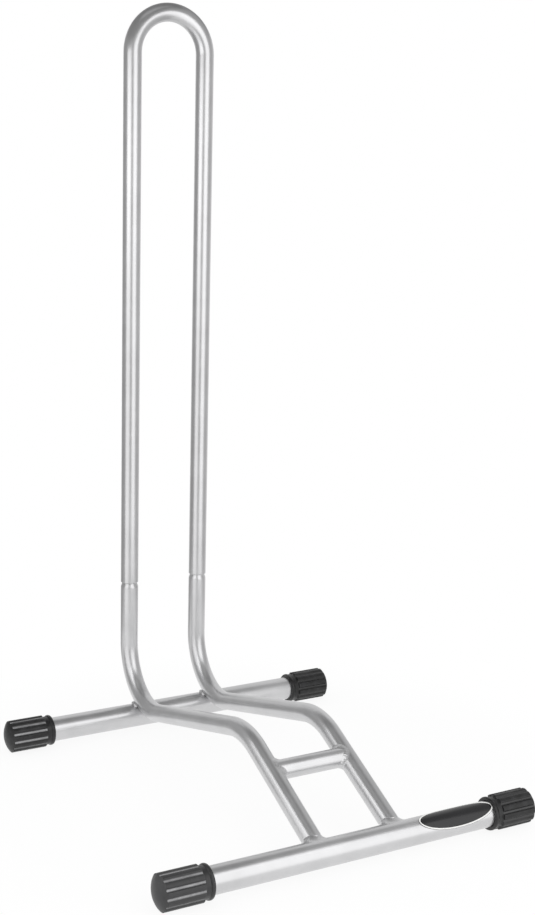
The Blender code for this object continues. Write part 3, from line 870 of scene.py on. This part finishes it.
def build_badge(badge, finishes):
    """The badge: an ellipse wrapped on the bar, (x, arc) = (a cos t, b sin t). Its border lies
    within a constant distance of the edge, measured square to it, and stands a little proud.
    The face inside it is domed by 1 - s^2, s the share of the way from the middle."""
    turns = even_turns(BADGE_COLUMNS)
    cos, sin = np.cos(turns), np.sin(turns)
    edge = np.stack([badge.half_length * cos, badge.half_height * sin], axis=1)
    inward = -unit(np.stack([badge.half_height * cos, badge.half_length * sin], axis=1))
    insets, rises = np.transpose(BORDER_SECTION)
    under = [share * edge for share in UNDER_SHARES]
    rows = [edge + inset * badge.border * inward for inset in insets]
    flat = np.array([*under, *rows, *(share * rows[-1] for share in FACE_SHARES)])
    dome = rises[-1] + FACE_DOME * (1 - np.array(FACE_SHARES) ** 2)
    heights = badge.thickness * np.concatenate([np.full(len(under), rises[0]), rises, dome])
    zones = np.ones(len(flat), int)
    zones[len(under) + EDGE_LINE_ROWS : len(under) + len(rows) - 1] = 0

    def wrapped(points, height):
        lean = badge.lean + points[..., 1] / BAR_RADIUS
        radius = BAR_RADIUS + height
        x = MIDDLE_X + badge.middle + points[..., 0]
        y = FRONT_BAR[1] - radius * np.cos(lean)
        z = FRONT_BAR[2] + radius * np.sin(lean)
        return np.stack([x + 0 * y, y, z], axis=-1)

    grid = wrapped(flat, heights[:, None])
    poles = [
        wrapped(np.zeros(2), rise * badge.thickness) for rise in (rises[0], rises[-1] + FACE_DOME)
    ]
    materials = [finishes["border"], finishes["badge"]]
    skin("front_badge", grid, materials, "base", zones=zones, poles=poles)


def add(tree, kind, inputs=None, **settings):
    """Adds a shader node. settings are its properties, and inputs maps its sockets to values or
    to the outputs that they are linked to."""
    node = tree.nodes.new("ShaderNode" + kind)
    for name, value in settings.items():
        setattr(node, name, value)
    for name, value in (inputs or {}).items():
        if isinstance(value, bpy.types.NodeSocket):
            tree.links.new(value, node.inputs[name])
        else:
            node.inputs[name].default_value = value
    return node


def new_material(name, surface, *values):
    """A node material. surface adds the nodes to its tree and returns the shader's output."""
    material = bpy.data.materials.new(name)
    material.use_nodes = True
    tree = material.node_tree
    tree.nodes.clear()
    add(tree, "OutputMaterial", {"Surface": surface(tree, *values)})
    return material


def toned(rgb, factor):
    """RGBA of a colour made darker or lighter."""
    return (*(min(1, share * factor) for share in rgb), 1)


def across(millimetres):
    """Scale of a pattern whose marks are that far across."""
    return 1 / (millimetres * MILLIMETRE)


def powder_coat(tree, rgb, roughness, peel):
    """Silver polyester powder coat, sprayed as powder and baked: an aluminium flake metallic
    with a satin sheen. The eye gets soft but clear reflections, a faint orange peel 1.6 mm
    across, and clouds 25 mm across where the flake lies a little darker or lighter."""
    place = add(tree, "TexCoord").outputs["Object"]
    cloud = add(tree, "TexNoise", {"Vector": place, "Scale": across(25), "Detail": 2.0})
    peel_noise = add(tree, "TexNoise", {"Vector": place, "Scale": across(1.6), "Detail": 1.0})
    spread = {"Value": cloud.outputs["Fac"], "From Min": 0.3, "From Max": 0.7}
    tone = add(tree, "MapRange", spread).outputs["Result"]
    tones = {"Factor": tone, "A": toned(rgb, 0.95), "B": toned(rgb, 1.04)}
    base = add(tree, "Mix", tones, data_type="RGBA")
    gloss = {"To Min": roughness - 0.015, "To Max": roughness + 0.015}
    sheen = add(tree, "MapRange", {**spread, **gloss})
    bump = add(tree, "Bump", {"Height": peel_noise.outputs["Fac"], "Distance": peel})
    return add(tree, "BsdfPrincipled", {
        "Base Color": base.outputs["Result"],
        "Metallic": 0.9,
        "Roughness": sheen.outputs["Result"],
        "Normal": bump.outputs["Normal"],
    }).outputs["BSDF"]


def drawn_steel(tree, rgb):
    """Bare drawn steel tube, dull with mill oil inside: grey metal whose gloss changes in grains
    1.2 mm across, under oil stains 14 mm across."""
    place = add(tree, "TexCoord").outputs["Object"]
    grain = add(tree, "TexNoise", {"Vector": place, "Scale": across(1.2), "Detail": 3.0})
    stain = add(tree, "TexNoise", {"Vector": place, "Scale": across(14), "Detail": 3.0})
    tones = {"Factor": stain.outputs["Fac"], "A": toned(rgb, 0.7), "B": toned(rgb, 1.2)}
    base = add(tree, "Mix", tones, data_type="RGBA")
    rough = add(tree, "MapRange", {"Value": grain.outputs["Fac"], "To Min": 0.38, "To Max": 0.55})
    return add(tree, "BsdfPrincipled", {
        "Base Color": base.outputs["Result"],
        "Metallic": 1.0,
        "Roughness": rough.outputs["Result"],
    }).outputs["BSDF"]


def scuffed_spigot(tree, paint, steel):
    """Powder coat on the spigots, rubbed through by the hoop: long upright scratches, 0.8 mm
    apart, show the bare steel as dull bright lines."""
    place = add(tree, "TexCoord").outputs["Object"]
    stretched = add(tree, "Mapping", {"Vector": place, "Scale": (1, 1, 0.06)}).outputs["Vector"]
    lines = add(tree, "TexNoise", {"Vector": stretched, "Scale": across(0.8), "Detail": 2.0})
    edges = {"Value": lines.outputs["Fac"], "From Min": 0.52, "From Max": 0.6}
    worn = add(tree, "MapRange", edges).outputs["Result"]
    tones = {"Factor": worn, "A": toned(paint, 1), "B": toned(steel, 0.8)}
    base = add(tree, "Mix", tones, data_type="RGBA")
    rough = add(tree, "MapRange", {"Value": worn, "To Min": 0.3, "To Max": 0.45})
    bump = add(tree, "Bump", {"Height": worn, "Distance": -0.03 * MILLIMETRE})
    return add(tree, "BsdfPrincipled", {
        "Base Color": base.outputs["Result"],
        "Metallic": 0.9,
        "Roughness": rough.outputs["Result"],
        "Normal": bump.outputs["Normal"],
    }).outputs["BSDF"]


def moulded_rubber(tree, rgb, highlight_rgb):
    """Black rubber, injection moulded: near-black with a spark-eroded mould grain 0.5 mm across
    under a thin film of mould release that shines. The grooves stay glossy, and their colour is
    darkened as painted shade. The tops of the ribs are rubbed duller, and paler in handling marks
    9 mm across. A pale painted highlight lies along the bottom of the grooves, and a film of
    painted sheen on the rubbed parts where the attribute gives one; both are thinner in the
    handling marks."""
    place = add(tree, "TexCoord").outputs["Object"]
    grain = add(tree, "TexNoise", {"Vector": place, "Scale": across(0.5), "Detail": 2.0})
    blotches = {"Vector": place, "Scale": across(9), "Detail": 4.0, "Roughness": 0.6}
    marks = add(tree, "TexNoise", blotches).outputs["Fac"]
    wear_and_groove_shade = add(tree, "Attribute", attribute_name="wear_and_groove_shade").outputs["Fac"]
    painted_highlight = add(tree, "Attribute", attribute_name="painted_highlight").outputs["Fac"]
    handled = add(tree, "MapRange", {"Value": marks, "From Min": 0.45, "From Max": 0.75})
    tones = {"Factor": handled.outputs["Result"], "A": toned(rgb, 0.15), "B": toned(rgb, 1.0)}
    pale = add(tree, "Mix", tones, data_type="RGBA")
    # Grooves darkened as painted shade, rib tops paler where worn
    tones = {"Factor": wear_and_groove_shade, "A": toned(rgb, 0.05), "B": pale.outputs["Result"]}
    base = add(tree, "Mix", tones, data_type="RGBA")
    breakup_range = {"From Min": 0.3, "From Max": 0.7, "To Min": 1.0, "To Max": 0.6}
    highlight_breakup = add(tree, "MapRange", {"Value": marks, **breakup_range}).outputs["Result"]
    # Painted highlight and painted sheen, made thinner by the handling marks
    left = add(tree, "Math", {0: painted_highlight, 1: highlight_breakup}, operation="MULTIPLY").outputs["Value"]
    tones = {"Factor": left, "A": base.outputs["Result"], "B": toned(highlight_rgb, 1.0)}
    highlighted = add(tree, "Mix", tones, data_type="RGBA")
    rough = add(tree, "MapRange", {"Value": wear_and_groove_shade, "To Min": 0.14, "To Max": 0.5})
    bump = add(tree, "Bump", {"Height": grain.outputs["Fac"], "Distance": 0.008 * MILLIMETRE})
    return add(tree, "BsdfPrincipled", {
        "Base Color": highlighted.outputs["Result"],
        "IOR": 1.48,
        "Roughness": rough.outputs["Result"],
        "Coat Weight": 0.1,
        "Coat Roughness": 0.14,
        "Normal": bump.outputs["Normal"],
    }).outputs["BSDF"]


def badge_vinyl(tree, rgb, roughness):
    """Domed polyurethane over printed vinyl: an even glossy face with slight pour waves 6 mm
    across and a breath of tone in the ink."""
    place = add(tree, "TexCoord").outputs["Object"]
    waves = add(tree, "TexNoise", {"Vector": place, "Scale": across(6), "Detail": 1.0})
    tones = {"Factor": waves.outputs["Fac"], "A": toned(rgb, 0.9), "B": toned(rgb, 1.1)}
    base = add(tree, "Mix", tones, data_type="RGBA")
    bump = add(tree, "Bump", {"Height": waves.outputs["Fac"], "Distance": 0.04 * MILLIMETRE})
    return add(tree, "BsdfPrincipled", {
        "Base Color": base.outputs["Result"],
        "IOR": 1.49,
        "Roughness": roughness,
        "Normal": bump.outputs["Normal"],
    }).outputs["BSDF"]


def stand_finishes():
    """The finishes by name, made once."""
    colours = bpy.context.scene.stand_colours
    makers = {
        "paint": ("silver_powder_coat", powder_coat, colours.paint, 0.31, 0.001 * MILLIMETRE),
        "weld": ("weld_powder_coat", powder_coat, colours.paint, 0.30, 0.004 * MILLIMETRE),
        "steel": ("drawn_steel", drawn_steel, colours.steel),
        "spigot": ("scuffed_powder_coat", scuffed_spigot, colours.paint, colours.steel),
        "rubber": ("moulded_rubber", moulded_rubber, colours.rubber, colours.painted_highlight),
        "badge": ("badge_ink", badge_vinyl, colours.badge, 0.22),
        "border": ("badge_border_ink", badge_vinyl, colours.border, 0.35),
    }
    return {
        key: bpy.data.materials.get(name) or new_material(name, *maker)
        for key, (name, *maker) in makers.items()
    }


def camera_axes(studio):
    """Right, up and view directions of the camera from its yaw, pitch and roll."""
    yaw, pitch, roll = studio.yaw, studio.pitch, studio.roll
    ahead = math.cos(pitch)
    view = np.array([math.sin(yaw) * ahead, math.cos(yaw) * ahead, math.sin(pitch)])
    level = np.array([math.cos(yaw), -math.sin(yaw), 0])
    above = np.cross(level, view)
    right = math.cos(roll) * level + math.sin(roll) * above
    up = math.cos(roll) * above - math.sin(roll) * level
    return right, up, view


def add_camera(studio):
    """The camera that took the photo's view, without shift or depth of field."""
    right, up, view = camera_axes(studio)
    data = bpy.data.cameras.new("photo_camera")
    data.lens = studio.lens
    data.sensor_width = 36
    camera = bpy.data.objects.new("photo_camera", data)
    turn = Matrix([Vector(right), Vector(up), Vector(-view)]).transposed().to_4x4()
    camera.matrix_world = Matrix.Translation(studio.place) @ turn
    bpy.context.scene.collection.objects.link(camera)
    bpy.context.scene.camera = camera


def drum_points(radius, first, last, height, count):
    """Points at one height on the studio's drum, from one bearing to another. Bearings are in
    degrees from the camera's side, positive to its right."""
    _, _, view = camera_axes(bpy.context.scene.stand_studio)
    turns = math.atan2(-view[1], -view[0]) + np.radians(np.linspace(first, last, count))
    level = np.stack([np.cos(turns), np.sin(turns), 0 * turns], axis=1)
    return radius * level + height * Z_UNIT


def or_indirect(tree, path, seen):
    """The share seen, or 1 for a ray that was mirrored or went through glass."""
    for ray in INDIRECT_RAYS:
        seen = add(tree, "Math", {0: seen, 1: path[ray]}, operation="MAXIMUM").outputs["Value"]
    return seen


def studio_paper(tree, rgb):
    """Matt studio surface. For the camera it is mixed with plain white, which leaves a faint
    shadow of the stand on it, and it fades to white alone towards its edge. Mirrored in metal or
    seen through glass it is white."""
    matt = add(tree, "BsdfDiffuse", {"Color": (*rgb, 1)})
    white = add(tree, "Emission", {"Color": WHITE, "Strength": 1.0})
    path = add(tree, "LightPath").outputs
    place = add(tree, "TexCoord").outputs["Object"]
    reach = add(tree, "VectorMath", {0: place}, operation="LENGTH").outputs["Value"]
    span = {"From Min": FADE_START, "From Max": FLOOR_HALF, "To Min": WHITE_SHARE}
    fade = add(tree, "MapRange", {"Value": reach, **span}, interpolation_type="SMOOTHSTEP")
    direct = {0: path["Is Camera Ray"], 1: fade.outputs["Result"]}
    direct = add(tree, "Math", direct, operation="MULTIPLY").outputs["Value"]
    seen = or_indirect(tree, path, direct)
    mix = add(tree, "MixShader", {0: seen, 1: matt.outputs["BSDF"], 2: white.outputs["Emission"]})
    return mix.outputs["Shader"]


def stage_sheet(name, lower, upper, material):
    """A stage sheet stretched between two rows of points."""
    count = len(lower)
    first = np.arange(count - 1)
    faces = np.stack([first, first + 1, first + 1 + count, first + count], axis=1)
    mesh = bpy.data.meshes.new(name)
    mesh.from_pydata(np.concatenate([lower, upper]).tolist(), [], faces.tolist())
    mesh.materials.append(material)
    sheet = bpy.data.objects.new(name, mesh)
    bpy.context.scene.collection.objects.link(sheet)
    return sheet


def even_glow(tree, grey):
    """Painted card under even light, which looks equally bright from all sides."""
    glow = add(tree, "Emission", {"Color": (grey, grey, grey, 1), "Strength": 1.0})
    return glow.outputs["Emission"]


def add_card(name, lower, upper, grey):
    """A grey card that only reflections see, as a photographer stands round a shiny object."""
    material = new_material(name, even_glow, grey)
    material.cycles.emission_sampling = "NONE"
    card = stage_sheet(name, lower, upper, material)
    card.visible_camera = card.visible_diffuse = card.visible_shadow = False


def upright_card(name, radius, columns, first, last, low, high, grey):
    """A card that follows the drum from one bearing to another and from low to high."""
    lower = drum_points(radius, first, last, low, columns)
    add_card(name, lower, lower + (high - low) * Z_UNIT, grey)


def add_softbox(name, first, last, low, high, grey, radiance):
    """An upright softbox that faces the stand: its screen on the drum, and a flat lamp before it
    that adds its own light. A lamp of power P and area A has radiance P / 4A."""
    upright_card(name + "_screen", SCREEN_RADIUS, CARD_COLUMNS, first, last, low, high, grey)
    left, right = drum_points(LAMP_RADIUS, first, last, (low + high) / 2, 2)
    place = (left + right) / 2
    data = bpy.data.lights.new(name, "AREA")
    data.shape = "RECTANGLE"
    data.size, data.size_y = np.linalg.norm(right - left), high - low
    data.energy = 4 * data.size * data.size_y * radiance
    inward = Vector((-place[0], -place[1], 0))
    lamp = bpy.data.objects.new(name, data)
    turn = inward.to_track_quat("-Z", "Y").to_matrix().to_4x4()
    lamp.matrix_world = Matrix.Translation(place) @ turn
    lamp.visible_camera = False
    bpy.context.scene.collection.objects.link(lamp)


def add_world(level):
    """White for camera, glossy and transmission rays, and a plain level for diffuse light."""
    world = bpy.data.worlds.new("studio_world")
    world.use_nodes = True
    tree = world.node_tree
    tree.nodes.clear()
    path = add(tree, "LightPath").outputs
    seen = or_indirect(tree, path, path["Is Camera Ray"])
    dim = add(tree, "Background", {"Color": WHITE, "Strength": level}).outputs["Background"]
    white = add(tree, "Background", {"Color": WHITE, "Strength": 1.0}).outputs["Background"]
    mix = add(tree, "MixShader", {0: seen, 1: dim, 2: white})
    add(tree, "OutputWorld", {"Surface": mix.outputs["Shader"]})
    bpy.context.scene.world = world


def build_studio(studio):
    """Camera, world, floor, softboxes, and cards as a drum with a ceiling."""
    add_camera(studio)
    add_world(WORLD_LEVEL)
    near = np.array([[-FLOOR_HALF, -FLOOR_HALF, 0], [FLOOR_HALF, -FLOOR_HALF, 0]])
    far = near * np.array([1, -1, 1])
    colours = bpy.context.scene.stand_colours
    floor = new_material("paper_sweep", studio_paper, colours.floor)
    stage_sheet("floor", near, far, floor)
    for softbox in SOFTBOXES:
        add_softbox(*softbox)
    for name, *extent in CARDS:
        upright_card(name, DRUM_RADIUS, CARD_COLUMNS, *extent)
    for name, *extent in CARD_RINGS:
        upright_card(name, RING_RADIUS, RING_COLUMNS, -180, 180, *extent)
    for name, first, last, grey in CEILING_CARDS:
        edge = drum_points(RING_RADIUS, first, last, CEILING, CEILING_COLUMNS)
        add_card(name, edge, edge * np.array([CEILING_EYE, CEILING_EYE, 1]), grey)
    bpy.context.scene.view_settings.view_transform = "Standard"


class StandFrameTubes(bpy.types.Operator):
    """Build the two bent frame tubes with their swaged spigots"""

    bl_idname = "stand.frame_tubes"
    bl_label = "Frame Tubes"

    def execute(self, context):
        build_frame_tubes(context.scene.stand_tubes, stand_finishes())
        return {"FINISHED"}


class StandHoop(bpy.types.Operator):
    """Build the lift-off hoop"""

    bl_idname = "stand.hoop"
    bl_label = "Hoop"

    def execute(self, context):
        build_hoop(context.scene.stand_tubes, stand_finishes())
        return {"FINISHED"}


class StandBars(bpy.types.Operator):
    """Build the two foot bars"""

    bl_idname = "stand.bars"
    bl_label = "Foot Bars"

    def execute(self, context):
        build_bars(context.scene.stand_tubes, stand_finishes())
        return {"FINISHED"}


class StandRung(bpy.types.Operator):
    """Build the rung between the frame tubes"""

    bl_idname = "stand.rung"
    bl_label = "Wheel Rung"

    def execute(self, context):
        build_rung(context.scene.stand_tubes, stand_finishes())
        return {"FINISHED"}


class StandWelds(bpy.types.Operator):
    """Build the weld beads on the front bar, the rung and the rear bar"""

    bl_idname = "stand.welds"
    bl_label = "Weld Beads"

    def execute(self, context):
        scene = context.scene
        build_joint_welds(scene.stand_tubes, scene.stand_welds, stand_finishes())
        build_rear_welds(scene.stand_tubes, scene.stand_welds, stand_finishes())
        return {"FINISHED"}


class StandEndCaps(bpy.types.Operator):
    """Build the four ribbed rubber end caps"""

    bl_idname = "stand.end_caps"
    bl_label = "End Caps"

    def execute(self, context):
        build_end_caps(context.scene.stand_caps, stand_finishes())
        return {"FINISHED"}


class StandBadge(bpy.types.Operator):
    """Build the bare oval badge on the front bar"""

    bl_idname = "stand.badge"
    bl_label = "Badge"

    def execute(self, context):
        build_badge(context.scene.stand_badge, stand_finishes())
        return {"FINISHED"}


class StandStage(bpy.types.Operator):
    """Set up the camera, the floor and the studio light"""

    bl_idname = "stand.stage"
    bl_label = "Studio"

    def execute(self, context):
        build_studio(context.scene.stand_studio)
        return {"FINISHED"}


OPERATORS = (
    StandFrameTubes,
    StandHoop,
    StandBars,
    StandRung,
    StandWelds,
    StandEndCaps,
    StandBadge,
    StandStage,
)
GROUPS = {
    "stand_tubes": StandTubeSizes,
    "stand_caps": StandCapSizes,
    "stand_welds": StandWeldSizes,
    "stand_badge": StandBadgeSizes,
    "stand_colours": StandColours,
    "stand_studio": StandStudio,
}


class StandPanel(bpy.types.Panel):
    """Sidebar panel that lists the builders and their sizes"""

    bl_idname = "VIEW3D_PT_stand"
    bl_label = "Bicycle Display Stand"
    bl_space_type = "VIEW_3D"
    bl_region_type = "UI"
    bl_category = "Stand"

    def draw(self, context):
        for operator in OPERATORS:
            self.layout.operator(operator.bl_idname)
        for key, group in GROUPS.items():
            box = self.layout.box()
            values = getattr(context.scene, key)
            for name in group.__annotations__:
                box.prop(values, name)


def register():
    """Makes the classes and the stand's sizes known to Blender."""
    for item in (*GROUPS.values(), *OPERATORS, StandPanel):
        bpy.utils.register_class(item)
    for key, group in GROUPS.items():
        setattr(bpy.types.Scene, key, PointerProperty(type=group))


def unregister():
    """Takes the sizes and the classes out again."""
    for key in GROUPS:
        delattr(bpy.types.Scene, key)
    for item in (StandPanel, *OPERATORS, *GROUPS.values()):
        bpy.utils.unregister_class(item)


def main():
    register()
    bpy.ops.stand.frame_tubes()
    bpy.ops.stand.hoop()
    bpy.ops.stand.bars()
    bpy.ops.stand.rung()
    bpy.ops.stand.welds()
    bpy.ops.stand.end_caps()
    bpy.ops.stand.badge()
    bpy.ops.stand.stage()


if __name__ == "__main__":
    main()
